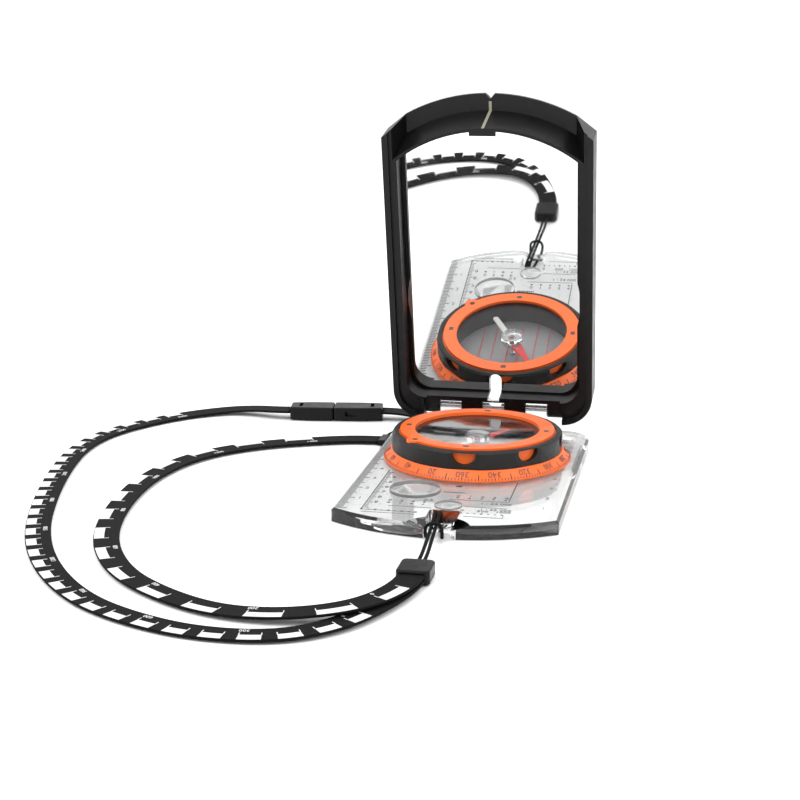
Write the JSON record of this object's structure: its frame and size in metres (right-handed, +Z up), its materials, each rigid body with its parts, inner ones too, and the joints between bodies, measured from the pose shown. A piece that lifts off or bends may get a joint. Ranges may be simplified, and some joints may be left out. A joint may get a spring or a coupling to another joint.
{
  "type": "sighting compass",
  "caption": "mirror sighting compass with a clear ruled baseplate, turning orange dial, open mirror lid and a printed neck lanyard with clasp",
  "frame": {"origin": "underside of the baseplate on the axis of the dial", "axes": "+Z up out of the table, +Y from the lanyard end to the hinge, +X to the right"},
  "size_m": [0.1676, 0.2118, 0.1151],
  "materials": {
    "clear": "polished clear plastic",
    "lens": "polished clear plastic",
    "disc_clear": "clear plastic",
    "white_print": "printed",
    "olive_print": "printed",
    "pin_steel": "brushed",
    "cord_black": "braided",
    "ribbon_black": "woven",
    "black_rubbery": "moulded",
    "clasp_black": "moulded, fine texture",
    "lid_black": "moulded, satin",
    "mirror_glass": "mirror",
    "orange": "moulded, satin",
    "grip_black": "soft moulded",
    "capsule_grey": "moulded",
    "floor_grey": "moulded",
    "screw_brass": "turned",
    "needle_red": "painted",
    "needle_white": "painted",
    "jewel_red": "polished"
  },
  "bodies": {
    "base": {"baseplate": "clear", "magnifier_lens": "lens", "dimple_lens": "lens", "index_mark": "white_print", "hinge_pin": "pin_steel", "loop_cord_left": "cord_black", "loop_cord_right": "cord_black", "junction_block": "black_rubbery", "ribbon_outer": "ribbon_black", "ribbon_inner": "ribbon_black", "ribbon_rear": "ribbon_black", "link_cord": "cord_black", "ferrule_front": "clasp_black", "ferrule_rear": "clasp_black", "clasp_socket": "clasp_black", "clasp_plug": "clasp_black"},
    "lid": {"lid_shell": "lid_black", "mirror": "mirror_glass", "mirror_frame": "lid_black", "sight_line": "olive_print"},
    "dial": {"dial_flange": "orange", "dial_core": "orange", "grip_ring": "grip_black", "top_ring": "orange", "retaining_ring": "grip_black", "capsule_wall": "capsule_grey", "capsule_floor": "floor_grey", "capsule_glass": "clear", "pivot_pin": "pin_steel"},
    "orienting": {"orienting_disc": "disc_clear"},
    "adjuster": {"declination_screw": "screw_brass"},
    "needle": {"needle_north": "needle_red", "needle_south": "needle_white", "needle_hub": "clear", "needle_magnet": "pin_steel", "jewel_bearing": "jewel_red"}
  },
  "joints": [
    {"name": "lid_hinge", "type": "hinge", "parent": "base", "child": "lid", "pos_m": [0, 0.0366, 0.0108], "axis": [-1, 0, 0], "range_deg": [-78.6, 101.4]},
    {"name": "dial_turn", "type": "hinge", "parent": "base", "child": "dial", "pos_m": [0, 0, 0.004], "axis": [0, 0, 1], "continuous": true},
    {"name": "declination_set", "type": "hinge", "parent": "dial", "child": "orienting", "pos_m": [0, 0, 0.003], "axis": [0, 0, 1], "range_deg": [-25, 25]},
    {"name": "adjuster_turn", "type": "hinge", "parent": "dial", "child": "adjuster", "pos_m": [-0.01655, -0.01655, 0.0125], "axis": [0, 0, 1], "range_deg": [-400, 400]},
    {"name": "needle_pivot", "type": "hinge", "parent": "dial", "child": "needle", "pos_m": [0, 0, 0.0094], "axis": [0, 0, 1], "continuous": true}
  ],
  "couplings": [
    {"joint": "adjuster_turn", "follows": "declination_set", "ratio": 16}
  ]
}
